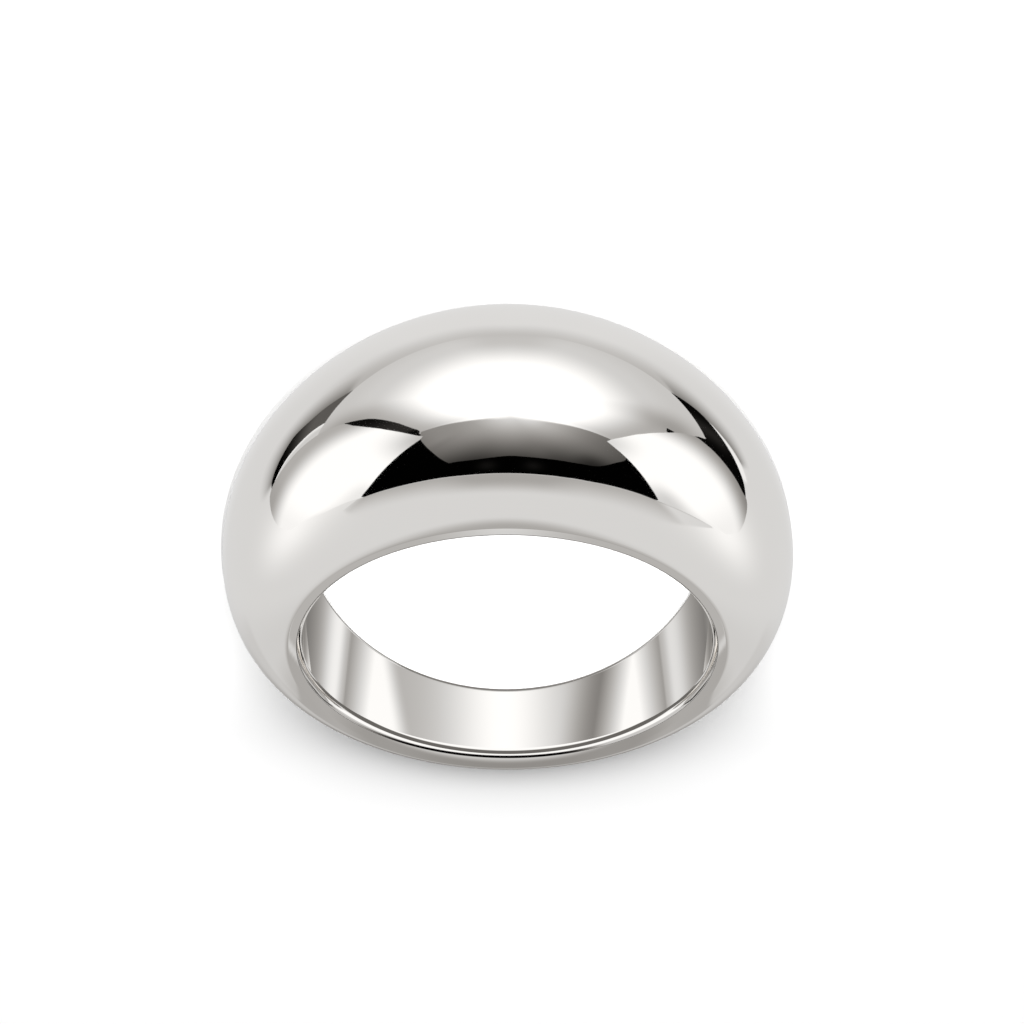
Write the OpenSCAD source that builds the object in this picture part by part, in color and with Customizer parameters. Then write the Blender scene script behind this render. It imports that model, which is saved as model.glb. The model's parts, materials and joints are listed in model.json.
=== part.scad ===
/* [Fit] */
// Inside diameter of the band, a small size for the little finger
bore_d = 15.7; // [13:0.1:21]
// Rounding of the bore's edges, from its wall on
edge_round = 0.46; // [0.3:0.02:0.5]
// Rounding of the narrow, nearly flat bevel that follows it
bevel_round = 1.3; // [0.8:0.1:1.6]
// Rounding of the corner where the bevel meets the flat side
corner_round = 0.05; // [0.03:0.01:0.08]

/* [Band] */
// Width along the finger, level with the bore's axis
mid_width = 7.24; // [5.6:0.02:9]
// Lean of each flat side, which widens the band toward the crown
side_lean = 12.6; // [6:0.2:15]
// Breadth of the flat side, from the bore to the dome, at the crown and under the finger
crown_land = 0.78; // [0.5:0.01:1.1]
// Breadth of the flat side at the two flanks
flank_land = 0.58; // [0.5:0.01:1.1]
// Reach of the softened edge, each way from where the flat side meets the dome
crease_reach = 0.08; // [0.04:0.01:0.18]

/* [Dome] */
// Thickness of the wall, from the bore to the top of the dome, at the crown
crown_wall = 4.45; // [3:0.05:5.5]
// Thickness of the wall at the two flanks
flank_wall = 2.98; // [2.3:0.02:4]
// Thickness of the wall under the finger
base_wall = 1.84; // [1.6:0.02:2.6]
// Angle along the dome's arc at which it leaves the flat side
dome_start = 12; // [4:1:20]

/* [Smoothness] */
// Sections round the band
section_count = 96; // [48:8:104]
// Steps along the dome's arc in one section
arc_steps = 26; // [12:2:30]

/* [Hidden] */
silver = [0.87, 0.86, 0.84];
bore_r = bore_d / 2;
side_slope = tan(side_lean);
// How closely the broader flat side keeps to the crown and the base
land_power = 6;
// Angles, from the bore's wall on, at which the bevel starts and ends
bevel_start = 35;
bevel_end = 41;
// The swept form starts a little inside the bore, which is then drilled through it
drill_margin = 0.15;
drill_length = 4 * mid_width;
// The edge rounding is swept from this angle on, so that its facets cross the bore at a slant
round_start = 25;
edge_angles = [round_start, 30, bevel_start, bevel_end, 65, 90];
crease_steps = 3;

// Half of the band's width at a distance from the axis; th is 0 at the crown
function half_width(rho, th) = mid_width / 2 + side_slope * rho * cos(th);

// Distance from the axis at which the dome leaves the flat side
function rim(th) = bore_r + flank_land + (crown_land - flank_land) * pow(cos(th), land_power);

// Thickness of the wall, eased from the crown through the flanks to the base
function wall(th) = let (mean = (crown_wall + base_wall) / 2)
    (mean + flank_wall) / 2 + (crown_wall - base_wall) / 2 * cos(th)
    + (mean - flank_wall) / 2 * cos(2 * th);

// The dome's section is an elliptical arc: semi-axes across and outward, and its centre
function arc_half_width(th) = half_width(rim(th), th) / cos(dome_start);
function arc_height(th) = (bore_r + wall(th) - rim(th)) / (1 - sin(dome_start));
function arc_centre(th) = rim(th) - arc_height(th) * sin(dome_start);
function arc_point(th, psi) =
    [arc_centre(th) + arc_height(th) * sin(psi), arc_half_width(th) * cos(psi)];
function arc_tangent(th, psi) =
    let (v = [arc_height(th) * cos(psi), -arc_half_width(th) * sin(psi)]) v / norm(v);
// Angle along the arc at which the softened edge ends
function crease_end(th) =
    dome_start + crease_reach / norm(arc_point(th, dome_start + 1) - arc_point(th, dome_start));

// How far an arc of radius r runs outward and along the bore between the angles g and h
function arc_run(r, g, h) = r * [cos(g) - cos(h), sin(h) - sin(g)];
// How far the bore's edge has run from the bore's wall at the angle g: rounding, bevel, corner
function edge_run(g) = arc_run(edge_round, 0, min(g, bevel_start))
    + arc_run(bevel_round, bevel_start, min(max(g, bevel_start), bevel_end))
    + arc_run(corner_round, bevel_end, max(g, bevel_end));
edge_depth = edge_run(90)[1];
// Point on the bore's edge, which leans with the flat side
function edge_point(th, g) =
    let (run = edge_run(g), rho = bore_r + run[0])
    [rho, half_width(rho, th) - edge_depth + run[1]];
// First point of the section, inside the bore, in line with the start of the rounding
function inner_point(th) =
    let (p = edge_point(th, round_start), back = p[0] - bore_r + drill_margin)
    [p[0] - back, p[1] - back / tan(round_start)];

// Cubic curve from p to q that leaves and arrives along the directions u and v
function ease(p, u, q, v, s) =
    let (d = norm(q - p) / 3, a = p + d * u, b = q - d * v)
    pow(1 - s, 3) * p + 3 * s * pow(1 - s, 2) * a + 3 * s * s * (1 - s) * b + pow(s, 3) * q;

// One side of the section, from the bore to where the dome's arc takes over
function side_points(th) =
    let (land_end = rim(th) - crease_reach, p = [land_end, half_width(land_end, th)],
         lean = [1, side_slope * cos(th)], u = lean / norm(lean),
         psi = crease_end(th), q = arc_point(th, psi), v = arc_tangent(th, psi))
    [inner_point(th),
     for (g = edge_angles) edge_point(th, g),
     for (i = [0:crease_steps - 1]) ease(p, u, q, v, i / crease_steps)];

function mirrored(points) = [for (i = [len(points) - 1:-1:0]) [points[i][0], -points[i][1]]];

// Whole section as [distance from the axis, place along the axis], round from side to side
function section(th) =
    let (side = side_points(th), psi = crease_end(th))
    [each side,
     for (i = [0:arc_steps]) arc_point(th, psi + (180 - 2 * psi) * i / arc_steps),
     each mirrored(side)];

// Solid swept round the bore's axis, with the crown toward -Y
module band_form() {
    rings = [for (i = [0:section_count - 1]) let (th = 360 * i / section_count)
        [for (p = section(th)) [p[0] * sin(th), -p[0] * cos(th), p[1]]]];
    n = len(rings[0]);
    points = [for (ring = rings) each ring];
    faces = [for (i = [0:section_count - 1], j = [0:n - 1])
        let (k = (i + 1) % section_count, l = (j + 1) % n)
        each [[i * n + j, k * n + j, k * n + l], [i * n + j, k * n + l, i * n + l]]];
    polyhedron(points, faces);
}

// The band lies on one flat side: how far the dome then reaches to the front and to the back
function reach(th) = arc_centre(th) * cos(side_lean)
    + norm([arc_half_width(th) * sin(side_lean), arc_height(th) * cos(side_lean)]);
centre_shift = (reach(0) - reach(180)) / 2;
axis_height = mid_width / 2 * cos(side_lean);

module domed_band() {
    color(silver)
    translate([0, centre_shift, axis_height])
    rotate([-side_lean, 0, 0])
    difference() {
        band_form();
        cylinder(h = drill_length, r = bore_r, center = true, $fn = 96);
    }
}

domed_band();
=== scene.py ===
"""Polished silver pinky ring with a high domed crown, on a pale floor in a soft studio."""

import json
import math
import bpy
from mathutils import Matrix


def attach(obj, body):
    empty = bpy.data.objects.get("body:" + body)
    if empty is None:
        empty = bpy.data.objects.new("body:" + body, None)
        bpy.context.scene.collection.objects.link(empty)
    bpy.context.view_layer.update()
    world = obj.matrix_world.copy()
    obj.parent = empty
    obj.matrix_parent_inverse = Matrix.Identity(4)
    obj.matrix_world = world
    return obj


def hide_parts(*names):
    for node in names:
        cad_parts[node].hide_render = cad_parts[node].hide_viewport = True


bl_info = {
    "name": "Domed pinky ring",
    "version": (1, 0, 0),
    "blender": (4, 5, 0),
    "location": "View3D > Sidebar > Pinky ring",
    "description": "Builds a polished domed ring and the studio that it is seen in",
    "category": "Add Mesh",
}

from collections import namedtuple

import bpy
import numpy as np
from bpy.props import FloatProperty, FloatVectorProperty, PointerProperty
from mathutils import Matrix, Vector

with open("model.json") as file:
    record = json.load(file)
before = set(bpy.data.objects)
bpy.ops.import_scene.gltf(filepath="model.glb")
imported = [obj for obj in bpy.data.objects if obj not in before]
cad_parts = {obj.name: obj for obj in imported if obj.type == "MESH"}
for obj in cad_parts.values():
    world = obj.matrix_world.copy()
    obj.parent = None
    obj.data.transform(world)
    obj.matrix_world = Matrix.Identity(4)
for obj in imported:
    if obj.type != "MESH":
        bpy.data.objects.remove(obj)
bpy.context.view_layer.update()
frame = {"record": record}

MM = 0.001

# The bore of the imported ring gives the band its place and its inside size
BORE = next(m for m in frame["record"]["mounts"] if m["name"] == "finger_bore")
BORE_RADIUS = BORE["dims"]["r_mm"] * MM

# The ring's own directions: across it, along the bore towards the upper side, and out through the crown
ACROSS = Vector((-1.0, 0.0, 0.0))
ALONG = Vector(BORE["axis"]).normalized()
CROWNWARD = ALONG.cross(ACROSS)
CENTRE = Vector(BORE["pos_m"])
RING_FRAME = np.array([ACROSS, ALONG, CROWNWARD])

# How finely the band's surface is drawn
SECTIONS = 400
WALL_STEPS = 16
ROUND_STEPS = 10
BEVEL_STEPS = 8
CORNER_STEPS = 7
LAND_STEPS = 6
CREASE_STEPS = 8
ARC_STEPS = 108

# How closely the broader flat side keeps to the crown and the base
LAND_POWER = 6


class BandSizes(bpy.types.PropertyGroup):
    """Sizes of the domed band."""

    bore_radius: FloatProperty(
        name="Bore radius", description="Half of the inside diameter",
        default=BORE_RADIUS, unit="LENGTH", precision=5)
    edge_round: FloatProperty(
        name="Edge rounding", description="Rounding of the bore's edges, from its wall on",
        default=0.46 * MM, unit="LENGTH", precision=5)
    bevel_round: FloatProperty(
        name="Bevel", description="Rounding of the narrow, nearly flat bevel that follows it",
        default=1.3 * MM, unit="LENGTH", precision=5)
    corner_round: FloatProperty(
        name="Corner", description="Rounding of the corner where the bevel meets the flat side, at the base",
        default=0.05 * MM, unit="LENGTH", precision=5)
    crown_corner: FloatProperty(
        name="Corner at the crown", description="Rounding of the same corner at the crown",
        default=0.15 * MM, unit="LENGTH", precision=5)
    bevel_start: FloatProperty(
        name="Bevel start", description="Angle from the bore's wall at which the bevel starts",
        default=math.radians(35.0), subtype="ANGLE")
    bevel_end: FloatProperty(
        name="Bevel end", description="Angle from the bore's wall at which the bevel ends",
        default=math.radians(41.0), subtype="ANGLE")
    mid_width: FloatProperty(
        name="Middle width", description="Width along the finger, level with the bore's axis",
        default=7.24 * MM, unit="LENGTH", precision=5)
    side_lean: FloatProperty(
        name="Side lean", description="Lean of each flat side, which widens the band at the crown",
        default=math.radians(12.6), subtype="ANGLE")
    crown_land: FloatProperty(
        name="Flat side", description="Breadth of the flat side at the crown and under the finger",
        default=0.78 * MM, unit="LENGTH", precision=5)
    flank_land: FloatProperty(
        name="Flat side at the flanks", description="Breadth of the flat side at the two flanks",
        default=0.58 * MM, unit="LENGTH", precision=5)
    crease_reach: FloatProperty(
        name="Crease", description="Reach of the softened edge between the flat side and the dome",
        default=0.08 * MM, unit="LENGTH", precision=5)
    crown_wall: FloatProperty(
        name="Crown wall", description="Thickness of the wall from the bore to the top of the dome",
        default=4.45 * MM, unit="LENGTH", precision=5)
    flank_wall: FloatProperty(
        name="Flank wall", description="Thickness of the wall at the two flanks",
        default=2.98 * MM, unit="LENGTH", precision=5)
    base_wall: FloatProperty(
        name="Base wall", description="Thickness of the wall under the finger",
        default=1.84 * MM, unit="LENGTH", precision=5)
    dome_start: FloatProperty(
        name="Dome start", description="Angle along the dome's arc at which it leaves the flat side",
        default=math.radians(12.0), subtype="ANGLE")


class SilverLooks(bpy.types.PropertyGroup):
    """Colour and polish of the silver."""

    colour: FloatVectorProperty(
        name="Silver", description="Colour of the polished silver",
        default=(0.93, 0.912, 0.888), subtype="COLOR", size=3, min=0.0, max=1.0)
    worn_colour: FloatVectorProperty(
        name="Handled silver", description="Colour where the silver is a little duller from handling",
        default=(0.91, 0.89, 0.862), subtype="COLOR", size=3, min=0.0, max=1.0)
    polish: FloatProperty(
        name="Polish", description="Roughness of the best polished places",
        default=0.022, min=0.0, max=1.0)
    dulling: FloatProperty(
        name="Dulling", description="Roughness that soft handling marks add in patches",
        default=0.018, min=0.0, max=1.0)
    edge_dulling: FloatProperty(
        name="Edge wear", description="Roughness that wear adds along the edges",
        default=0.05, min=0.0, max=1.0)
    scratch_depth: FloatProperty(
        name="Hairlines", description="Depth of the finest hairline scratches",
        default=0.00002 * MM, unit="LENGTH", precision=8)


class StudioSettings(bpy.types.PropertyGroup):
    """Camera, floor and lights."""

    camera_distance: FloatProperty(
        name="Camera distance", description="Distance from the lens to the middle of the ring",
        default=1.0, unit="LENGTH")
    camera_rise: FloatProperty(
        name="Camera rise", description="Angle of the view above the bore's axis, towards the crown",
        default=math.radians(46.11), subtype="ANGLE")
    camera_turn: FloatProperty(
        name="Camera turn", description="Angle of the view to the side of the bore's axis",
        default=math.radians(-1.1), subtype="ANGLE")
    camera_roll: FloatProperty(
        name="Camera roll", description="Roll of the picture about the line of sight",
        default=math.radians(1.40), subtype="ANGLE")
    lens: FloatProperty(
        name="Lens", description="Focal length of the camera in millimetres",
        default=918.77, min=1.0)
    aim_across: FloatProperty(
        name="Aim across", description="How far the picture's middle is to the right of the bore's middle",
        default=0.186 * MM, unit="LENGTH", precision=6)
    aim_up: FloatProperty(
        name="Aim up", description="How far the picture's middle is above the bore's middle",
        default=2.571 * MM, unit="LENGTH", precision=6)
    light_colour: FloatVectorProperty(
        name="Studio light", description="Colour of the light from the cards and boxes",
        default=(1.0, 1.0, 1.0), subtype="COLOR", size=3, min=0.0, max=1.0)
    shade_colour: FloatVectorProperty(
        name="Dim light", description="Colour of the light where the cards are dim",
        default=(1.0, 0.945, 0.885), subtype="COLOR", size=3, min=0.0, max=1.0)
    neutral_from: FloatProperty(
        name="Neutral from", description="Strength from which the light has its own colour",
        default=0.7, min=0.1, max=1.0)
    floor_colour: FloatVectorProperty(
        name="Floor", description="Colour of the pale floor",
        default=(0.8, 0.8, 0.8), subtype="COLOR", size=3, min=0.0, max=1.0)
    floor_glow: FloatProperty(
        name="Floor glow", description="Light that comes through the floor from below",
        default=0.02, min=0.0)
    room_light: FloatProperty(
        name="Room light", description="Brightness of the room behind the floor", default=1.0, min=0.0)
    round_lamp: FloatProperty(
        name="Round lamp", description="Power of the large round lamp over the crown's side",
        default=13.0, min=0.0, subtype="POWER", unit="POWER")
    strip_lamp: FloatProperty(
        name="Strip lamp", description="Power of the long soft lamp above it",
        default=6.2, min=0.0, subtype="POWER", unit="POWER")
    bore_spot: FloatProperty(
        name="Spot", description="Power of the narrow spot that lights the floor inside the bore",
        default=9.0, min=0.0, subtype="POWER", unit="POWER")
    broad_spot: FloatProperty(
        name="Broad spot", description="Power of the spot that lights the floor beside and before the ring",
        default=20.5, min=0.0, subtype="POWER", unit="POWER")


# Shape of the band

def side_slope(sizes, turn):
    """How fast the band widens with the distance from the bore's axis; the turn is 0 at the crown."""
    return math.tan(sizes.side_lean) * math.cos(turn)


def half_width(sizes, rho, turn):
    """Half of the band's width at a distance from the bore's axis."""
    return sizes.mid_width / 2 + side_slope(sizes, turn) * rho


def rim(sizes, turn):
    """Distance from the axis at which the dome leaves the flat side."""
    broader = (sizes.crown_land - sizes.flank_land) * math.cos(turn) ** LAND_POWER
    return sizes.bore_radius + sizes.flank_land + broader


def wall(sizes, turn):
    """Thickness of the wall, eased from the crown through the flanks to the base."""
    mean = (sizes.crown_wall + sizes.base_wall) / 2
    return ((mean + sizes.flank_wall) / 2 + (sizes.crown_wall - sizes.base_wall) / 2 * math.cos(turn)
            + (mean - sizes.flank_wall) / 2 * math.cos(2 * turn))


def dome_arc(sizes, turn, angles):
    """Points of the dome's elliptical arc and the directions in which it runs."""
    start = rim(sizes, turn)
    across = half_width(sizes, start, turn) / math.cos(sizes.dome_start)
    height = (sizes.bore_radius + wall(sizes, turn) - start) / (1 - math.sin(sizes.dome_start))
    centre = start - height * math.sin(sizes.dome_start)
    points = np.stack([centre + height * np.sin(angles), across * np.cos(angles)], axis=1)
    runs = np.stack([height * np.cos(angles), -across * np.sin(angles)], axis=1)
    return points, runs


def crease_end(sizes, turn):
    """Angle along the dome's arc at which the softened edge ends."""
    one_degree = math.radians(1.0)
    pair, _ = dome_arc(sizes, turn, np.array([sizes.dome_start, sizes.dome_start + one_degree]))
    return sizes.dome_start + sizes.crease_reach / np.linalg.norm(pair[1] - pair[0]) * one_degree


def edge_profile(sizes, turn):
    """Angles along the bore's edge and how far it has run by then: rounding, bevel and corner in turn."""
    crown_share = ((1 + math.cos(turn)) / 2) ** 2
    corner = sizes.corner_round + (sizes.crown_corner - sizes.corner_round) * crown_share
    angles, outward, along = [0.0], [0.0], [0.0]
    for radius, stop, steps in ((sizes.edge_round, sizes.bevel_start, ROUND_STEPS),
                                (sizes.bevel_round, sizes.bevel_end, BEVEL_STEPS),
                                (corner, math.pi / 2, CORNER_STEPS)):
        start = angles[-1]
        first_out, first_along = outward[-1], along[-1]
        for angle in np.linspace(start, stop, steps + 1)[1:]:
            angles.append(angle)
            outward.append(first_out + radius * (math.cos(start) - math.cos(angle)))
            along.append(first_along + radius * (math.sin(angle) - math.sin(start)))
    return np.array(angles), np.array(outward), np.array(along)


def bore_edge(sizes, turn):
    """Edge of the bore, from its wall to the flat side, leaning with that side."""
    angles, outward, along = edge_profile(sizes, turn)
    rho = sizes.bore_radius + outward
    places = half_width(sizes, rho, turn) - along[-1] + along
    runs = np.stack([np.sin(angles), side_slope(sizes, turn) * np.sin(angles) + np.cos(angles)], axis=1)
    return np.stack([rho, places], axis=1), runs


def eased_crease(sizes, turn, start, start_run):
    """Cubic curve from the flat side into the dome."""
    end, end_run = dome_arc(sizes, turn, np.array([crease_end(sizes, turn)]))
    p, q = start, end[0]
    u, v = start_run / np.linalg.norm(start_run), end_run[0] / np.linalg.norm(end_run[0])
    pull = np.linalg.norm(q - p) / 3
    a, b = p + pull * u, q - pull * v
    s = np.linspace(0, 1, CREASE_STEPS + 1)[:, None]
    points = (1 - s) ** 3 * p + 3 * s * (1 - s) ** 2 * a + 3 * s * s * (1 - s) * b + s ** 3 * q
    runs = (1 - s) ** 2 * (a - p) + 2 * s * (1 - s) * (b - a) + s * s * (q - b)
    return points, runs


def section(sizes, turn):
    """One section of the band, as distance from the axis and place along it, its runs and edge wear."""
    edge_points, edge_runs = bore_edge(sizes, turn)
    land_end = rim(sizes, turn) - sizes.crease_reach
    land_stop = np.array([land_end, half_width(sizes, land_end, turn)])
    land_run = np.array([1.0, side_slope(sizes, turn)])
    part = np.linspace(0, 1, LAND_STEPS + 1)[1:-1, None]
    land_points = edge_points[-1] * (1 - part) + land_stop * part
    crease_points, crease_runs = eased_crease(sizes, turn, land_stop, land_run)
    start = crease_end(sizes, turn)
    arc_points, arc_runs = dome_arc(sizes, turn, np.linspace(start, math.pi - start, ARC_STEPS + 1)[1:-1])
    side = np.concatenate([edge_points, land_points, crease_points])
    side_runs = np.concatenate([edge_runs, np.repeat(land_run[None], len(land_points), 0), crease_runs])
    mirror = np.array([1.0, -1.0])
    wall_part = np.linspace(0, 1, WALL_STEPS + 1)[1:-1, None]
    wall_points = (side[0] * mirror) * (1 - wall_part) + side[0] * wall_part
    wall_runs = np.repeat(np.array([[0.0, 1.0]]), len(wall_points), 0)
    points = np.concatenate([side, arc_points, side[::-1] * mirror, wall_points])
    runs = np.concatenate([side_runs, arc_runs, side_runs[::-1] * -mirror, wall_runs])
    edge_wear = np.sin(np.linspace(0, math.pi, len(edge_points)))
    crease_wear = np.sin(np.linspace(0, math.pi, len(crease_points)))
    side_wear = np.concatenate([edge_wear, np.zeros(len(land_points)), crease_wear])
    wear = np.concatenate([side_wear, np.zeros(len(arc_points)), side_wear[::-1],
                           np.zeros(len(wall_points))])
    return points, runs / np.linalg.norm(runs, axis=1)[:, None], wear


def to_world(places):
    """Places given across, along and crownward from the bore's middle, moved to where the ring lies."""
    return places @ RING_FRAME + np.array(CENTRE)


def band_surface(sizes):
    """Points, outward normals and edge wear of the whole band, one row for each section."""
    turns = np.linspace(0, 2 * math.pi, SECTIONS, endpoint=False)
    rows = [section(sizes, turn) for turn in turns]
    points = np.stack([row[0] for row in rows])
    runs = np.stack([row[1] for row in rows])
    wear = np.stack([row[2] for row in rows])
    sin, cos = np.sin(turns)[:, None], np.cos(turns)[:, None]
    places = np.stack([points[..., 0] * sin, points[..., 1], points[..., 0] * cos], axis=-1)
    rising = np.stack([runs[..., 0] * sin, runs[..., 1], runs[..., 0] * cos], axis=-1)
    sliding = np.roll(places, -1, axis=0) - np.roll(places, 1, axis=0)
    normals = np.cross(sliding @ RING_FRAME, rising @ RING_FRAME)
    normals /= np.linalg.norm(normals, axis=-1)[..., None]
    return to_world(places), normals, wear


def put_in_scene(name, data):
    """Object of a name that shows a mesh, a lamp or a camera."""
    thing = bpy.data.objects.new(name, data)
    bpy.context.scene.collection.objects.link(thing)
    return thing


def add_values(mesh, name, values):
    """Number for each point of a mesh, under a name."""
    attribute = mesh.attributes.new(name, "FLOAT", "POINT")
    attribute.data.foreach_set("value", np.asarray(values, np.float32).reshape(-1))


def build_band(sizes):
    """Mesh of the domed band, smooth all over, with its edge wear as an attribute."""
    points, normals, wear = band_surface(sizes)
    count = points.shape[1]
    faces = []
    for i in range(SECTIONS):
        this, other = i * count, (i + 1) % SECTIONS * count
        for j in range(count):
            m = (j + 1) % count
            faces.append((this + j, other + j, other + m, this + m))
    mesh = bpy.data.meshes.new("domed_band_polished")
    mesh.from_pydata(points.reshape(-1, 3).tolist(), [], faces)
    mesh.validate()
    mesh.polygons.foreach_set("use_smooth", [True] * len(mesh.polygons))
    mesh.normals_split_custom_set_from_vertices(normals.reshape(-1, 3).tolist())
    add_values(mesh, "edge_wear", wear)
    mesh.update()
    return mesh


# Finish of the silver: noises for its marks, and the values between which each one starts to show
PATCH_NOISE = {"Scale": 260.0, "Detail": 3.0, "Roughness": 0.55}
PATCH_RANGE = (0.35, 0.75)
GRIT_NOISE = {"Scale": 2200.0, "Detail": 2.0, "Roughness": 0.6}
HAIR_NOISE = {"Scale": 320.0, "Detail": 2.0}
HAIR_RANGE = (0.62, 0.72)

# Two sets of hairlines: turn of the noise, how it is stretched, and the row of its nodes
HAIR_SETS = ((0.5, (60.0, 2.0, 60.0), -420), (-0.9, (2.0, 55.0, 40.0), -640))
HAIR_TWIST = (1.0, 0.6, 1.3)

# Share of the duller colour in a fully handled place
WORN_TINT = 0.25


def add_node(tree, kind, place, **inputs):
    """Node of a kind at a place in the tree, with its inputs set."""
    node = tree.nodes.new(kind)
    node.location = place
    for key, value in inputs.items():
        node.inputs[key.replace("_", " ")].default_value = value
    return node


def add_math(tree, place, operation, *values):
    """Sum of a kind, from plain numbers and the outputs of other nodes."""
    node = add_node(tree, "ShaderNodeMath", place)
    node.operation = operation
    for socket, value in zip(node.inputs, values):
        if isinstance(value, bpy.types.NodeSocket):
            tree.links.new(value, socket)
        else:
            socket.default_value = value
    return node.outputs["Value"]


def add_range(tree, place, value, low, high):
    """Value stretched so that low becomes 0 and high becomes 1, and held there beyond them."""
    node = add_node(tree, "ShaderNodeMapRange", place, From_Min=low, From_Max=high)
    tree.links.new(value, node.inputs["Value"])
    return node.outputs["Result"]


def add_noise(tree, place, vector, inputs):
    """Soft noise over a set of coordinates."""
    node = add_node(tree, "ShaderNodeTexNoise", place, **inputs)
    tree.links.new(vector, node.inputs["Vector"])
    return node.outputs["Fac"]


def add_attribute(tree, place, name):
    """Number that each point of the mesh carries under a name."""
    node = add_node(tree, "ShaderNodeAttribute", place)
    node.attribute_name = name
    return node.outputs["Fac"]


def add_tint(tree, place, share, plain, other):
    """Colour between a plain one and another, by the other's share."""
    node = add_node(tree, "ShaderNodeMix", place)
    node.data_type = "RGBA"
    node.inputs["A"].default_value = (*plain, 1.0)
    node.inputs["B"].default_value = (*other, 1.0)
    tree.links.new(share, node.inputs["Factor"])
    return node.outputs["Result"]


def polished_silver(looks):
    """Mirror-polished silver with soft handling marks, fine hairlines and dulled edges."""
    material = bpy.data.materials.new("polished_silver_hand_finished")
    material.use_nodes = True
    tree = material.node_tree
    tree.nodes.clear()
    link = tree.links.new
    out = add_node(tree, "ShaderNodeOutputMaterial", (900, 0))
    metal = add_node(tree, "ShaderNodeBsdfPrincipled", (620, 0), Metallic=1.0)
    link(metal.outputs["BSDF"], out.inputs["Surface"])
    place = add_node(tree, "ShaderNodeTexCoord", (-1300, 0)).outputs["Object"]

    # Soft patches a few millimetres wide, where fingers have rubbed
    rubbed = add_noise(tree, (-1000, 260), place, PATCH_NOISE)
    patches = add_range(tree, (-780, 260), rubbed, *PATCH_RANGE)

    # Wear along the edges, broken up by a finer noise
    wear = add_attribute(tree, (-1000, -20), "edge_wear")
    grit = add_noise(tree, (-1000, -220), place, GRIT_NOISE)
    worn = add_math(tree, (-780, -100), "MULTIPLY", wear, grit)

    # Colour: bright silver, a little duller in the patches and along the edges
    dull = add_math(tree, (-560, 160), "MAXIMUM", patches, worn)
    share = add_math(tree, (-540, 340), "MULTIPLY", dull, WORN_TINT)
    link(add_tint(tree, (-320, 260), share, looks.colour, looks.worn_colour), metal.inputs["Base Color"])

    # Roughness: the polish, plus the patches, plus the worn edges
    patch_dull = add_math(tree, (-320, 40), "MULTIPLY_ADD", patches, looks.dulling, looks.polish)
    edge_dull = add_math(tree, (-80, 0), "MULTIPLY_ADD", worn, looks.edge_dulling, patch_dull)
    link(edge_dull, metal.inputs["Roughness"])

    # Hairlines: long thin scratches, each set a stretched noise
    scratches = []
    for turn, stretch, row in HAIR_SETS:
        mapping = add_node(tree, "ShaderNodeMapping", (-1050, row), Scale=stretch,
                           Rotation=tuple(turn * twist for twist in HAIR_TWIST))
        link(place, mapping.inputs["Vector"])
        hairs = add_noise(tree, (-840, row), mapping.outputs["Vector"], HAIR_NOISE)
        scratches.append(add_range(tree, (-620, row), hairs, *HAIR_RANGE))
    bump = add_node(tree, "ShaderNodeBump", (-120, -480), Strength=1.0, Distance=looks.scratch_depth)
    bump.invert = True
    link(add_math(tree, (-380, -520), "MAXIMUM", *scratches), bump.inputs["Height"])
    link(bump.outputs["Normal"], metal.inputs["Normal"])
    return material


# The studio: curved cards all round, each placed by its turn from the viewer's side and its lift

# Distance of the cards from the ring; nearer ones hide the ones behind them
TENT_REACH = 1.2
LAYER_STEP = 0.03

# Share of the light that the silver keeps, so that a card's tone is the grey that shows in the silver
SILVER_SHARE = 0.915

# Greys: the middle of the panel, the tent, the shading beside the gaps, and the unlit room
WHITE = 1.05
TENT_GREY = 0.832
GAP_SHADE = 0.50
BLACK = 0.005


def level(grey):
    """Strength of light that shows in the silver as a grey of 0 to 1 in a finished picture."""
    grey = np.asarray(grey, float)
    return np.where(grey <= 0.04045, grey / 12.92, ((grey + 0.055) / 1.055) ** 2.4) / SILVER_SHARE


def smooth(low, high, value):
    """Soft step from 0 at low to 1 at high."""
    t = np.clip((value - low) / (high - low), 0, 1)
    return t * t * (3 - 2 * t)


def hump(middle, breadth, value):
    """Soft hump that is 1 at its middle and fades over a breadth to each side."""
    return np.exp(-((value - middle) / breadth) ** 2)


def toward(turn, lift):
    """Unit directions in the ring's own frame, from turns and lifts in degrees."""
    turn, lift = np.radians(turn), np.radians(lift)
    return np.stack([np.cos(lift) * np.sin(turn), np.cos(lift) * np.cos(turn), np.sin(lift)], axis=-1)


def flowing(corners, count):
    """Smooth line through a few points, as a number of evenly spaced places."""
    corners = np.asarray(corners, float)
    ends = np.concatenate([[2 * corners[0] - corners[1]], corners, [2 * corners[-1] - corners[-2]]])
    spans = np.linalg.norm(np.diff(corners, axis=0), axis=1)
    marks = np.concatenate([[0], np.cumsum(spans)])
    line = []
    for mark in np.linspace(0, marks[-1], count):
        i = min(np.searchsorted(marks, mark, side="right") - 1, len(spans) - 1)
        s = (mark - marks[i]) / spans[i]
        a, b, c, d = ends[i:i + 4]
        before = (c - a) / 2 if i == 0 else (c - a) * spans[i] / (spans[i - 1] + spans[i])
        after = (d - b) / 2 if i == len(spans) - 1 else (d - b) * spans[i] / (spans[i] + spans[i + 1])
        line.append((2 * s ** 3 - 3 * s * s + 1) * b + (s ** 3 - 2 * s * s + s) * before
                    + (3 * s * s - 2 * s ** 3) * c + (s ** 3 - s * s) * after)
    return np.array(line)


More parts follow.
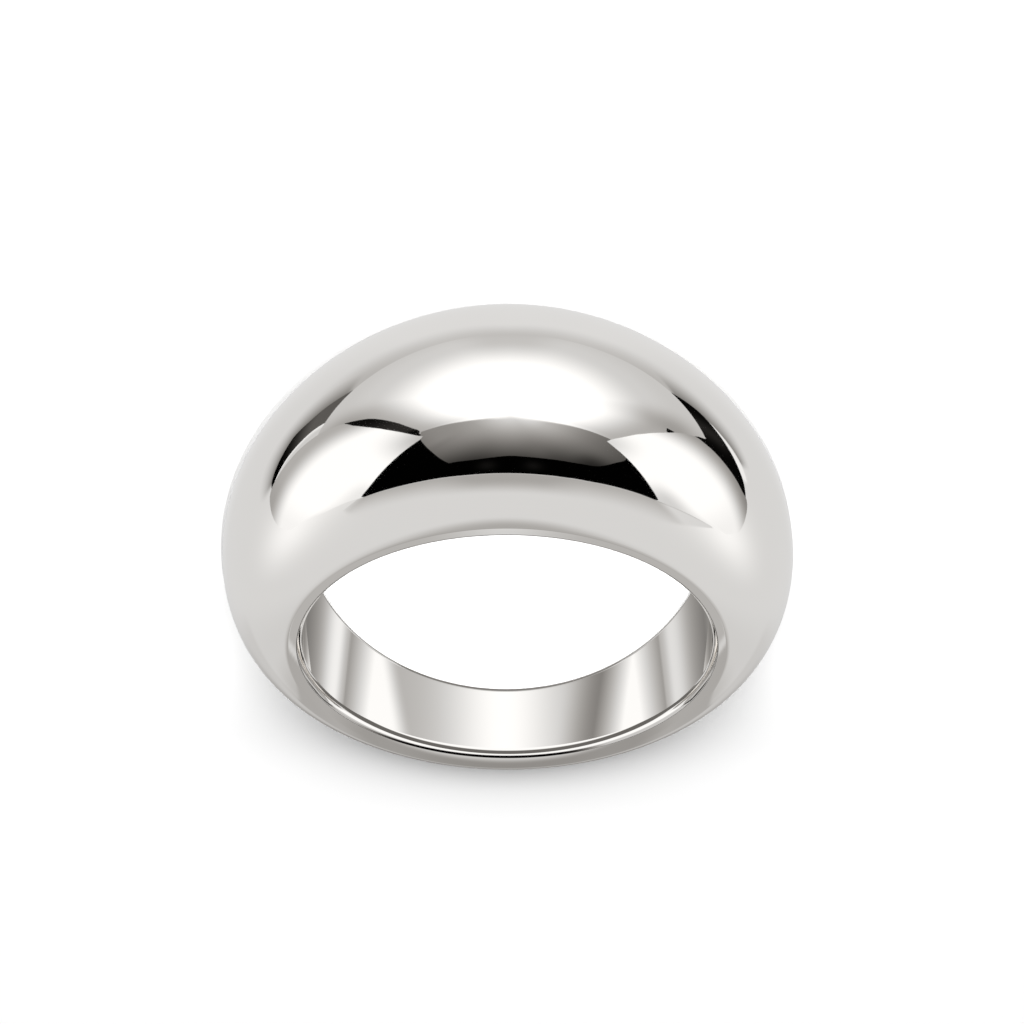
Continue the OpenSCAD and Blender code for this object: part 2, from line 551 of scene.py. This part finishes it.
def studio_light(settings):
    """Light whose strength and cover come from the card's own attributes, warmer where it is dim."""
    material = bpy.data.materials.new("studio_card_light")
    material.use_nodes = True
    material.cycles.emission_sampling = "NONE"
    tree = material.node_tree
    tree.nodes.clear()
    link = tree.links.new
    out = add_node(tree, "ShaderNodeOutputMaterial", (400, 0))
    blend = add_node(tree, "ShaderNodeMixShader", (200, 0))
    clear = add_node(tree, "ShaderNodeBsdfTransparent", (0, 100))
    glow = add_node(tree, "ShaderNodeEmission", (0, -60))
    tone = add_attribute(tree, (-600, -200), "tone")
    bright = add_range(tree, (-400, -60), tone, 0.0, settings.neutral_from)
    tint = add_tint(tree, (-200, -60), bright, settings.shade_colour, settings.light_colour)
    link(tint, glow.inputs["Color"])
    link(tone, glow.inputs["Strength"])
    link(add_attribute(tree, (-250, 200), "cover"), blend.inputs["Fac"])
    link(clear.outputs["BSDF"], blend.inputs[1])
    link(glow.outputs["Emission"], blend.inputs[2])
    link(blend.outputs["Shader"], out.inputs["Surface"])
    return material


def sheet_of_light(name, places, tone, cover, material):
    """Card through a grid of places in the ring's own frame, seen only in the silver."""
    rows, columns = places.shape[:2]
    faces = [(i * columns + j, i * columns + j + 1, (i + 1) * columns + j + 1, (i + 1) * columns + j)
             for i in range(rows - 1) for j in range(columns - 1)]
    mesh = bpy.data.meshes.new(name)
    mesh.from_pydata(to_world(places).reshape(-1, 3).tolist(), [], faces)
    for key, values in (("tone", level(tone)), ("cover", cover)):
        add_values(mesh, key, np.broadcast_to(values, (rows, columns)))
    mesh.materials.append(material)
    sheet = put_in_scene(name, mesh)
    sheet.visible_camera = sheet.visible_diffuse = sheet.visible_shadow = False
    sheet.visible_transmission = sheet.visible_volume_scatter = False


# Where the places of a card are: their turns and lifts, and their shares of the way along and across it
Spread = namedtuple("Spread", "turn lift along across")


def even(value):
    """Tone or cover that is the same all over a card."""
    return lambda at: value


def faded_edge(start):
    """Cover that fades out towards a card's other edge, from a share of the way across on."""
    return lambda at: smooth(1.0, start, at.across)


def card(name, layer, one_edge, other_edge, tone, material, cover=even(1.0), rows=96, columns=32):
    """Card between two edges, each given by a few points as (turn, lift)."""
    one, other = flowing(one_edge, rows), flowing(other_edge, rows)
    across = np.linspace(0, 1, columns)
    turns = one[:, None, 0] * (1 - across) + other[:, None, 0] * across
    lifts = one[:, None, 1] * (1 - across) + other[:, None, 1] * across
    along = np.linspace(0, 1, rows)[:, None] * np.ones(columns)
    at = Spread(turns, lifts, along, across)
    places = (TENT_REACH - layer * LAYER_STEP) * toward(turns, lifts)
    sheet_of_light(name, places, tone(at), cover(at), material)


def white_tent(material):
    """Light tent all round, even at the sides, with painted shade low down where the ring shades it."""
    turns, lifts = np.meshgrid(np.linspace(-180, 180, 241), np.linspace(-90, 90, 181), indexing="xy")
    side = np.abs(turns)
    # Darker towards the base: painted shade round the ring's base, as the silver mirrors it
    tone = TENT_GREY - 0.03 * smooth(-45, -65, lifts) - 0.15 * smooth(-68, -86, lifts)

    # Brighter round the boxes and far behind
    tone = tone + 0.14 * hump(76, 16, side) * smooth(-42, -12, lifts) + 0.022 * smooth(140, 165, side)

    # Darker low in front: painted shade, where the ring shades the tent
    shade_top = -2 - 5 * (turns / 14) ** 2
    tone = tone - 0.17 * hump(0, 30, turns) * smooth(0, -13, lifts - shade_top)

    # Darker behind, under the edge of the overhead panel
    below_panel = np.interp(side, [115, 140, 160, 180], [12, 18, 24.5, 27]) - lifts
    fades_by = np.interp(side, [140, 180], [22, 14])
    deepest = np.interp(side, [140, 150, 165, 180], [0.125, 0.105, 0.10, 0.11])
    tone = tone - deepest * smooth(fades_by, -2, below_panel) * smooth(112, 125, side)

    # Dark patch low behind: painted shade behind the ring's base as the silver mirrors it, with the dimmer
    # light round it
    patch_lift, patch_breadth = -62, 11
    from_patch = np.hypot(lifts - patch_lift, 0.47 * (180 - side))
    tone = tone - 0.31 * hump(0, patch_breadth, from_patch)
    tone = tone - 0.03 * smooth(105, 118, side) * smooth(-50, -58, lifts)
    sheet_of_light("tent", TENT_REACH * toward(turns, lifts), tone, 1.0, material)


def overhead_panel(material):
    """Large panel over the ring and behind it, white in the middle and grey towards its edges."""
    rows, columns = 61, 721
    lower = flowing([(-180, 27), (-160, 24.5), (-140, 20.3), (-134.5, 18.9), (-127, 17), (-120, 15.2),
                     (-113, 13.3), (-90, 13), (0, 13), (90, 14), (108, 20), (112.6, 16), (114.6, 12),
                     (115, 11.3), (116, 11.55), (125, 13.8), (134.5, 16.3), (140, 18), (160, 24), (180, 27)],
                    columns)
    rise_part = np.linspace(0, 1, rows)[:, None]
    turns = np.broadcast_to(lower[:, 0], (rows, columns))
    lifts = lower[:, 1] * (1 - rise_part) + 90 * rise_part
    side = np.abs(turns)
    right_drop = 6.5 * smooth(120, 102, turns) * smooth(0, 60, turns)
    white_line = 49 + 21 * np.clip((120 - side) / 40, 0, 1) - right_drop
    tone = 0.66 + 0.12 * smooth(100, 125, side) + 0.03 * smooth(20, 34, lifts)
    tone = tone - 0.045 * smooth(162, 176, side) - 0.10 * hump(111, 8, side) * hump(28, 11, lifts)
    tone = tone + (WHITE - tone) * smooth(white_line - 16, white_line + 9, lifts)
    places = (TENT_REACH - 2 * LAYER_STEP) * toward(turns, lifts)
    sheet_of_light("overhead_panel", places, tone, 1.0, material)


def dark_room(material):
    """Unlit room in front, seen between the cards."""
    def tone(at):
        return BLACK + 0.06 * hump(13, 5, np.abs(at.turn)) * hump(47, 4, at.lift)

    top = [(-77, 53.2), (-66, 60), (-40, 63), (0, 64), (30, 62), (52, 55), (66, 51), (74, 49)]
    foot = [(-56.5, 12.5), (-40, 14), (0, 22), (40, 14), (56.5, 12)]
    card("dark_front", 3, top, foot, tone, material, columns=48)


def graded_card(material):
    """Card over the front edge of the panel, pale at its top and dark at its foot."""
    top = [(-77.5, 56), (-77, 64), (-75, 70), (-71, 75.5), (-66, 79.5), (-58, 83), (-45, 85.5), (-30, 87),
           (0, 88), (30, 87), (45, 85.5), (56, 83), (64, 79.5), (70, 74.5), (74, 68), (76, 60), (76, 50.3)]
    foot = [(-77.5, 55), (-69, 52.7), (-60, 51.4), (-50, 49.5), (-34.6, 45.4), (-34, 45.7), (-30, 47.8),
            (-20, 51.5), (-10, 54.4), (0, 55.8), (10, 54.9), (20, 52.9), (30, 49.5), (40, 44.3), (45, 41.2),
            (48.5, 40.1), (57, 39.4), (66.5, 39.1), (76, 50.3)]

    def tone(at):
        middle = 0.83 - 0.0194 * (84 - at.lift)
        outward = np.where(at.turn < 0, smooth(-15, -52, at.turn), smooth(15, 62, at.turn))
        sides = 0.0104 * np.clip(74 - at.lift, 0, None) * outward
        right = 0.10 * smooth(15, 60, at.turn) * smooth(52, 78, at.lift)
        right = right + 0.04 * hump(20, 8, at.turn) * smooth(66, 54, at.lift)
        right = right - 0.10 * hump(46, 8, at.turn) * smooth(54, 43, at.lift)
        left = 0.045 * smooth(-52, -60, at.turn) * smooth(68, 56, at.lift)
        return np.clip(middle + sides + right + left, 0.1, 1)

    card("graded_card", 4, foot, top, tone, material, faded_edge(0.88), rows=240, columns=64)


def box_cover(at):
    """Cover of a soft box, whose inner edge fades out low down."""
    return 1 - smooth(8, -6, at.lift) * smooth(0.12, 0.0, at.across)


def left_box(material):
    """Soft box on the left, white in the middle and grey towards the back."""
    inner = [(-71.5, 54.3), (-69.4, 52.6), (-66.7, 46.2), (-58.6, 23.4), (-56.9, 17.9), (-55.8, 13.4),
             (-55.4, 12.2), (-60, 7), (-65, 0), (-76, -13)]
    outer = [(-71.5, 54.3), (-84.8, 48.5), (-94.7, 42.1), (-99.6, 37.9), (-104.7, 32.8), (-107.8, 29.4),
             (-111.8, 25.2), (-113.2, 20), (-114, 14), (-113.5, 7), (-112.5, 2), (-109, -8), (-106, -10.6),
             (-100, -12.2), (-92, -13.6), (-85, -14.4)]

    def tone(at):
        middle = -102.6 + 0.01 * np.clip(22 - at.lift, 0, None) ** 2 + 0.06 * np.clip(at.lift - 24, 0, None)
        shade = 0.685 + 0.325 * smooth(middle - 9, middle + 7, at.turn)
        shade = shade - 0.27 * smooth(32, 54, at.lift) * smooth(-96, -68, at.turn)
        shade = shade - 0.05 * smooth(0, -12, at.lift)
        return shade - 0.09 * smooth(-68, -57, at.turn) * smooth(25, 14, at.lift)

    card("left_box", 5, inner, outer, tone, material, box_cover, rows=240, columns=96)


def right_box(material):
    """Soft box on the right, white in the middle and grey towards the back."""
    inner = [(72.3, 50.5), (71, 48.4), (68.8, 43.9), (60.6, 24.7), (55.7, 12.2), (55.3, 11.4), (56, 10.5),
             (60, 5.5), (70, -7.5), (75, -13)]
    outer = [(72.3, 50.5), (75.6, 49.8), (79.5, 48.4), (89.8, 43.1), (94.7, 39.4), (99.7, 34.8),
             (106.8, 26.4), (110, 21.3), (112.1, 15.8), (111.7, 13), (110.8, 8.1), (107.3, -2.9),
             (105.3, -6.9), (104.2, -10.1), (95.2, -12.8), (85, -14.8)]

    def tone(at):
        middle = 106 - 0.009 * np.clip(24 - at.lift, 0, None) ** 2
        shade = 0.58 + 0.43 * smooth(middle + 9, middle - 11, at.turn)
        shade = shade - 0.15 * smooth(33, 50, at.lift) * smooth(92, 72, at.turn)
        shade = shade - 0.06 * smooth(4, -12, at.lift)
        return shade - 0.19 * smooth(70, 59, at.turn) * smooth(27, 11, at.lift)

    card("right_box", 5, inner, outer, tone, material, box_cover, rows=240, columns=96)


def front_apron(material):
    """Pale sheet low in front, grey along its top edge, with a thin line of light on the edge itself."""
    top = [(-56, 10.5), (-49.5, 18.6), (-39.7, 27.7), (-29.9, 34), (-19.8, 37.9), (-9.9, 40.3), (0, 41),
           (9.9, 40.3), (19.8, 38), (24.9, 36), (30, 33.8), (35, 30.7), (40, 27.5), (44.8, 23.5),
           (49.9, 18.3), (55, 11.7), (60, 5.5), (70, -7.5)]
    foot = [(-57, 2), (-50, -2), (-40, -4), (-28, -6), (0, -6), (28, -6), (40, -4), (55, -6), (70, -8.5)]

    def tone(at):
        count = len(at.turn)
        below = at.across * (flowing(top, count)[:, None, 1] - flowing(foot, count)[:, None, 1])
        side = np.abs(at.turn)
        starts = 5 - 10 * smooth(12, 35, side) - 3 * smooth(35, 50, side)
        edge_line = 0.10 * smooth(0.9, 0.1, below) * smooth(54, 48, side)
        shade = 0.65 + 0.182 * smooth(starts, 20, below) + edge_line
        shade = shade + (0.84 - shade) * smooth(53, 58, side)
        return shade - 0.08 * smooth(1.2, 0.2, below) * smooth(52, 56, at.turn) * smooth(69.5, 64, at.turn)

    card("front_apron", 6, top, foot, tone, material, faded_edge(0.75), rows=320, columns=96)


def lens_gap(material):
    """Thin dark gap along the top of the left box."""
    def tone(at):
        return 0.05 + 0.115 * smooth(-109, -93, at.turn) - 0.13 * smooth(-85, -80, at.turn)

    upper = [(-112.3, 25.2), (-108.9, 35), (-105.7, 39.8), (-100.2, 45), (-94.2, 49), (-84.3, 53.3),
             (-79.6, 54.7), (-75, 53.8), (-72, 53.5)]
    lower = [(-112.3, 25.2), (-107, 28), (-100, 36), (-94, 41), (-88, 45), (-80, 49), (-72, 52)]
    card("left_lens_gap", 4, upper, lower, tone, material, rows=120, columns=12)


def gap_shade_cover(at):
    """Cover of the shading beside a gap, which fades away from it and towards its own ends."""
    return smooth(0.0, 0.08, at.along) * smooth(1.0, 0.9, at.along) * (1 - at.across) ** 1.6


def left_gap(material):
    """Dark gap behind the left box, with the shading behind it and the pale strip before it."""
    def gap_tone(at):
        return 0.35 * smooth(-6, 10, at.lift)

    def strip_tone(at):
        return 0.80 + 0.14 * smooth(0.25, 0.0, at.across)

    edge = [(-134.5, 19.4), (-131.8, 14.9), (-129.4, 10.3), (-126.5, 5.3), (-124.4, 0.2), (-122, -2.1),
            (-117, -5.9), (-112, -8.7), (-107.5, -9.5)]
    inner = [(-119, 19), (-112, 15), (-108, 5), (-107, -9.4)]
    card("left_gap", 1, edge, inner, gap_tone, material, rows=160, columns=48)
    strip_edge = [(-119.4, 17), (-119.2, 12), (-118.4, 8), (-115.2, 0), (-112, -4.6), (-107.5, -9.3)]
    strip_inner = [(-109, 17), (-108, 5), (-107, -9.3)]
    card("left_pale_strip", 1.4, strip_edge, strip_inner, strip_tone, material, rows=120)
    shade_end = [(-146, 16), (-139, 0), (-135, -6), (-130, -11), (-124, -15), (-112, -17), (-105, -15)]
    card("left_gap_shade", 0.5, edge, shade_end, even(GAP_SHADE), material, gap_shade_cover)


def right_gap(material):
    """Dark gap behind the right box, with the notch over it, its shading and the crescent of light below."""
    def gap_tone(at):
        return 0.02 + 0.11 * hump(121, 5, at.turn) * smooth(-4, 5, at.lift)

    def crescent_cover(at):
        return smooth(1.0, 0.6, at.across) * smooth(1.0, 0.9, at.along) * smooth(0.0, 0.1, at.along)

    edge = [(134.7, 16.6), (130.5, 8.7), (127.5, 5.4), (120.2, -0.8), (115.1, -4.6),
            (110.2, -7.5), (103, -9.9)]
    inner = [(110, 20), (108, 5), (103, -9.6)]
    card("right_gap", 1, edge, inner, gap_tone, material, rows=160, columns=48)
    notch_top = [(104.6, 29.8), (106, 29.8), (107.7, 29.4)]
    notch_foot = [(104.5, 28), (106, 27), (107.2, 26.3)]
    card("right_notch", 4, notch_top, notch_foot, even(0.04), material, rows=8, columns=6)
    shade_start = [(134.7, 16.6), (131, 10), (127.5, 5.4), (122.5, -3), (118, -8)]
    shade_end = [(148, 14), (144, 6), (140, -1), (133, -9), (122, -13)]
    card("right_gap_shade", 0.5, shade_start, shade_end, even(GAP_SHADE), material, gap_shade_cover)
    crescent_top = [(127.5, 5.6), (124, 2.9), (120, -0.5), (115, -4.4), (111, -7)]
    crescent_foot = [(127.8, 5.2), (124.5, 0), (121, -5), (117, -9), (112, -10)]
    card("right_crescent", 0.8, crescent_top, crescent_foot, even(0.93), material, crescent_cover,
         rows=48, columns=16)


# Cards close to the ring: distance from the bore's middle, below it or towards the base, in millimetres
STRIPES_DEPTH = 10.0
STRIPES_FLANK_DEPTH = 14.0
FAR_SHADE_DEPTH = 14.5
STANDING_CARD_DROP = 9.9

# Distance of the sheet of painted rim reflection from the edge that shows it
RIM_REFLECTION_REACH = 2.5


def view_gleam(settings, facing):
    """Directions in which the camera's view is reflected from places that face given ways."""
    view = toward(math.degrees(settings.camera_turn), math.degrees(settings.camera_rise))
    return 2 * (facing @ view)[..., None] * facing - view


def edge_rays(settings, around, lean):
    """Places on the lower near edge of the bore and where the camera's view is reflected to from there."""
    sizes = bpy.context.scene.band_sizes
    angles, outward, along = edge_profile(sizes, math.pi)
    turn = np.radians(around)
    out = BORE_RADIUS + np.interp(lean, angles, outward)
    slope = -math.tan(sizes.side_lean) * np.cos(turn)
    place = sizes.mid_width / 2 + slope * out - along[-1] + np.interp(lean, angles, along)
    start = np.stack([out * np.sin(turn), place, -out * np.cos(turn)], axis=-1)
    inward = slope * np.sin(lean) + np.cos(lean)
    facing = np.stack([-inward * np.sin(turn), np.sin(lean), inward * np.cos(turn)], axis=-1)
    return start, view_gleam(settings, facing / np.linalg.norm(facing, axis=-1)[..., None])


def bore_stripes(settings, material):
    """Sheet below the ring that only the bore's wall reflects: pale stripes with thin dark lines."""
    around, along = np.meshgrid(np.linspace(-88, 88, 353), np.linspace(-3.5, 3.5, 29), indexing="ij")
    turn = np.radians(around)
    start = np.stack([BORE_RADIUS * np.sin(turn), along * MM, -BORE_RADIUS * np.cos(turn)], axis=-1)
    inward = np.stack([-np.sin(turn), np.zeros(turn.shape), np.cos(turn)], axis=-1)
    gleam = view_gleam(settings, inward)
    deeper = (STRIPES_FLANK_DEPTH - STRIPES_DEPTH) * smooth(50, 75, np.abs(around))
    drop = (along + STRIPES_DEPTH + deeper) * MM
    places = start - gleam * (drop / gleam[..., 1])[..., None]

    # Middle stripe, then a lobe on each side, then the flanks of the wall beyond the thin outer lines
    outer_line, right_line = 50.1, 27.0
    outer = np.abs(around) - 0.8 * along
    right_place = around + 0.95 * along
    middle = 0.70 + 0.31 * hump(0, 17, around) - 0.215 * smooth(15, 28, right_place)
    lobe = 0.59 + 0.40 * np.clip((outer_line + 0.1 - outer) / 10, 0, 1)
    right_lobe = 0.51 + 0.048 * np.clip(right_place - right_line, 0, 10)
    lobe = np.where(around > 0, np.minimum(lobe, right_lobe), lobe)
    in_lobe = smooth(28.5, 35.3, 1.2 * along - around)
    in_lobe = in_lobe + smooth(right_line - 0.3, right_line + 0.3, right_place)
    glow = np.where(around < 0, 0.24, 0.17) * hump(55.5, 6.5, outer) * smooth(49.5, 54.5, outer)
    flank = 0.70 - 0.24 * smooth(54, 80, outer) + glow
    tone = middle * (1 - in_lobe) + lobe * in_lobe
    tone = tone + (flank - tone) * smooth(outer_line - 0.4, outer_line + 0.4, outer)
    sheet_of_light("bore_stripes", places, tone, 1.0, material)


def painted_rim_reflection(settings, material):
    """Small sheet over the lower near edge of the bore, which the edge reflects: a painted reflection of a
    dark, a pale and a black line along it.
    """
    around, lean = np.meshgrid(np.linspace(-66, 66, 133), np.radians(np.linspace(0.5, 66, 132)),
                               indexing="ij")
    start, gleam = edge_rays(settings, around, lean)
    places = start + RIM_REFLECTION_REACH * MM * gleam

    # Each line starts at a lean of the edge that shifts towards the sides
    lean = np.degrees(lean)
    shift = (np.clip(np.abs(around), 0, 45) / 35) ** 2
    dark_start, dark_end = 13 - 10 * shift, 19 - 12 * shift
    pale_start = 33 - 11 * shift
    grey_start = 37.5 - 2 * shift
    black_start = 37.3 + 2.2 * shift
    in_middle = smooth(-38, -20, around) * smooth(25, 12, around)
    black = smooth(black_start, black_start + 1, lean) * in_middle
    tone = 1.0 - 0.60 * smooth(dark_start, dark_end, lean)
    tone = tone + (1.0 - tone) * smooth(pale_start, pale_start + 2, lean)
    tone = tone - 0.22 * smooth(grey_start, grey_start + 2, lean)
    tone = tone * (1 - black) + BLACK * black
    tone = tone + (0.5 - tone) * smooth(60, 65, np.abs(around))
    sheet_of_light("painted_rim_reflection", places, tone, 1.0, material)


def far_shade(material):
    """Grey oval card well below the ring, painted shade behind the ring that shows as a thin dark line along
    the far edge of the bore.
    """
    half_across, half_up, middle_up = 8.9, 10.3, -12.0
    across, up = np.meshgrid(np.linspace(-half_across, half_across, 61),
                             np.linspace(middle_up - half_up, middle_up + half_up, 71), indexing="xy")
    places = np.stack([across, np.full(across.shape, -FAR_SHADE_DEPTH), up], axis=-1) * MM
    cover = smooth(1.0, 0.94, np.hypot(across / half_across, (up - middle_up) / half_up))
    sheet_of_light("far_shade", places, 0.48, cover, material)


def standing_card(material):
    """Small card beyond the ring's base, which the flat side reflects: a painted reflection with a painted
    shadow in its middle and a painted bright line along a bend.
    """
    half_across, nearest, farthest = 9.5, 1.45, 13.5
    across, out = np.meshgrid(np.linspace(-half_across, half_across, 191),
                              np.linspace(nearest, farthest, 242), indexing="xy")
    places = np.stack([across, out, np.full(across.shape, -STANDING_CARD_DROP)], axis=-1) * MM

    # Painted highlight: bright line along a bend that runs outward at both sides, which the flat side
    # mirrors
    past_bend = out - (2.29 + 0.0395 * across ** 2 + 0.00036 * across ** 4)
    flank = smooth(5, 7, np.abs(across))
    tone = 0.60 + 0.05 * hump(-4.5, 2, across) + 0.03 * hump(4.5, 2, across) + 0.10 * flank
    tone = tone - 0.04 * smooth(0, -0.12, past_bend)
    tone = tone + (0.19 - 0.08 * flank) * smooth(-0.06, 0.13, past_bend)
    beyond = 0.70 + 0.13 * hump(0, 2.2, across) * hump(12, 1.2, out)
    tone = tone + (beyond - tone) * smooth(0.3, 0.6, past_bend)

    # Painted shadow: dark oval in the middle, the shade round the ring's base as the flat side mirrors it
    oval_across, oval_out, oval_middle = 6.3, 4.0, 6.9
    within = np.hypot(across / oval_across, (out - oval_middle) / oval_out)
    tone = tone - 0.45 * smooth(1.0, 0.92, within)
    cover = smooth(half_across, 9.0, np.abs(across)) * smooth(farthest, 12.8, out)
    sheet_of_light("standing_card", places, tone, cover, material)


# The floor's half width and roughness
FLOOR_HALF = 3.0
FLOOR_ROUGHNESS = 0.9


def lay_floor(settings):
    """Pale floor that the ring lies on."""
    corners = [(x * FLOOR_HALF, y * FLOOR_HALF, 0) for x, y in ((-1, -1), (1, -1), (1, 1), (-1, 1))]
    mesh = bpy.data.meshes.new("floor")
    mesh.from_pydata(corners, [], [(0, 1, 2, 3)])
    floor = put_in_scene("floor", mesh)
    material = bpy.data.materials.new("pale_floor")
    material.use_nodes = True
    surface = material.node_tree.nodes["Principled BSDF"]
    surface.inputs["Base Color"].default_value = (*settings.floor_colour, 1.0)
    surface.inputs["Roughness"].default_value = FLOOR_ROUGHNESS
    surface.inputs["Specular IOR Level"].default_value = 0.0
    surface.inputs["Emission Color"].default_value = (1.0, 1.0, 1.0, 1.0)
    surface.inputs["Emission Strength"].default_value = settings.floor_glow
    material.cycles.emission_sampling = "NONE"
    mesh.materials.append(material)
    floor.visible_glossy = False


# Soft lamps over the crown's side: distance from the ring, rise above the floor, and sizes
SOFT_LAMP_REACH = 1.0
ROUND_LAMP_RISE = math.radians(50)
ROUND_LAMP_SIZE = 0.7
STRIP_LAMP_RISE = math.radians(53)
STRIP_LAMP_SIZE = (1.4, 0.3)

# Spots: distance, rise, radius of the round patch that each lights, its middle, and how soft its edge is
BORE_SPOT = (0.5, math.pi / 2, 9.2 * MM, Vector((0.0, 1.5 * MM, 0.0)), 0.2)
BROAD_SPOT = (1.0, math.radians(66), 96.3 * MM, Vector((0.0, -100.0 * MM, 0.0)), 0.02)
SPOT_SOFTNESS = 2 * MM


def add_lamp(name, kind, reach, rise, aim, energy):
    """Lamp on the crown's side, at a reach and rise from its aim, which the silver doesn't show."""
    lamp = bpy.data.lights.new(name, kind)
    lamp.energy = energy
    holder = put_in_scene(name, lamp)
    holder.location = aim + reach * Vector((0.0, -math.cos(rise), math.sin(rise)))
    holder.rotation_euler = (aim - holder.location).to_track_quat("-Z", "Y").to_euler()
    holder.visible_glossy = holder.visible_camera = False
    return lamp


def add_spot(name, energy, reach, rise, patch, aim, blend):
    """Spot that lights a round patch, square to its beam."""
    spot = add_lamp(name, "SPOT", reach, rise, aim, energy)
    spot.spot_size = 2 * math.atan(patch / reach)
    spot.spot_blend = blend
    spot.shadow_soft_size = SPOT_SOFTNESS


def light_room(settings):
    """White room behind, two soft lamps for the floor, and two spots that clear the shade on it."""
    world = bpy.data.worlds.new("room")
    bpy.context.scene.world = world
    world.use_nodes = True
    background = world.node_tree.nodes["Background"]
    background.inputs["Color"].default_value = (1.0, 1.0, 1.0, 1.0)
    background.inputs["Strength"].default_value = settings.room_light
    world.cycles_visibility.diffuse = False
    ring = Vector((0.0, 0.0, 0.0))
    disk = add_lamp("round_lamp", "AREA", SOFT_LAMP_REACH, ROUND_LAMP_RISE, ring, settings.round_lamp)
    disk.shape = "DISK"
    disk.size = ROUND_LAMP_SIZE
    strip = add_lamp("strip_lamp", "AREA", SOFT_LAMP_REACH, STRIP_LAMP_RISE, ring, settings.strip_lamp)
    strip.shape = "RECTANGLE"
    strip.size, strip.size_y = STRIP_LAMP_SIZE
    add_spot("bore_spot", settings.bore_spot, *BORE_SPOT)
    add_spot("broad_spot", settings.broad_spot, *BROAD_SPOT)


# Width of the camera's sensor in millimetres, and the nearest and farthest that it sees
SENSOR_WIDTH = 36.0
CLIP_START = 0.01
CLIP_END = 20.0


def place_camera(settings):
    """Camera at the photograph's angle to the ring, with the crown at the top of the picture."""
    rise_angle, turn, roll = settings.camera_rise, settings.camera_turn, settings.camera_roll
    back = toward(math.degrees(turn), math.degrees(rise_angle))
    level_right = np.array([math.cos(turn), -math.sin(turn), 0.0])
    level_up = np.cross(level_right, back)
    right = math.cos(roll) * level_right + math.sin(roll) * level_up
    up = math.cos(roll) * level_up - math.sin(roll) * level_right
    spot = settings.aim_across * right + settings.aim_up * up + settings.camera_distance * back
    basis = np.array([right, up, back]) @ RING_FRAME
    data = bpy.data.cameras.new("camera")
    data.sensor_width = SENSOR_WIDTH
    data.lens = settings.lens
    data.clip_start = CLIP_START
    data.clip_end = CLIP_END
    camera = put_in_scene("camera", data)
    pose = Matrix(basis.T.tolist()).to_4x4()
    pose.translation = to_world(spot)
    camera.matrix_world = pose
    bpy.context.scene.camera = camera


class RING_OT_domed_band(bpy.types.Operator):
    """Build the domed band in polished silver."""

    bl_idname = "pinky_ring.domed_band"
    bl_label = "Domed band"

    def execute(self, context):
        mesh = build_band(context.scene.band_sizes)
        mesh.materials.append(polished_silver(context.scene.silver_looks))
        band = put_in_scene("domed_band_polished", mesh)
        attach(band, "root")
        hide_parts("domed_band")
        return {"FINISHED"}


class RING_OT_studio(bpy.types.Operator):
    """Set the camera, the floor, the lights and the cards that the silver reflects."""

    bl_idname = "pinky_ring.studio"
    bl_label = "Studio"

    def execute(self, context):
        settings = context.scene.studio_settings
        place_camera(settings)
        lay_floor(settings)
        light_room(settings)
        material = studio_light(settings)
        for build in (white_tent, overhead_panel, dark_room, graded_card, left_box, right_box, front_apron,
                      lens_gap, left_gap, right_gap, standing_card, far_shade):
            build(material)
        bore_stripes(settings, material)
        painted_rim_reflection(settings, material)
        context.scene.view_settings.view_transform = "Standard"
        return {"FINISHED"}


class RING_PT_panel(bpy.types.Panel):
    """Steps that build the ring and its studio."""

    bl_label = "Pinky ring"
    bl_idname = "RING_PT_panel"
    bl_space_type = "VIEW_3D"
    bl_region_type = "UI"
    bl_category = "Pinky ring"

    def draw(self, context):
        layout = self.layout
        for step in STEPS:
            layout.operator(step.bl_idname)


STEPS = (RING_OT_domed_band, RING_OT_studio)
CLASSES = (BandSizes, SilverLooks, StudioSettings, *STEPS, RING_PT_panel)


def register():
    for cls in CLASSES:
        bpy.utils.register_class(cls)
    bpy.types.Scene.band_sizes = PointerProperty(type=BandSizes)
    bpy.types.Scene.silver_looks = PointerProperty(type=SilverLooks)
    bpy.types.Scene.studio_settings = PointerProperty(type=StudioSettings)


def unregister():
    del bpy.types.Scene.studio_settings
    del bpy.types.Scene.silver_looks
    del bpy.types.Scene.band_sizes
    for cls in reversed(CLASSES):
        bpy.utils.unregister_class(cls)


def main():
    register()
    bpy.ops.pinky_ring.domed_band()
    bpy.ops.pinky_ring.studio()


if __name__ == "__main__":
    main()
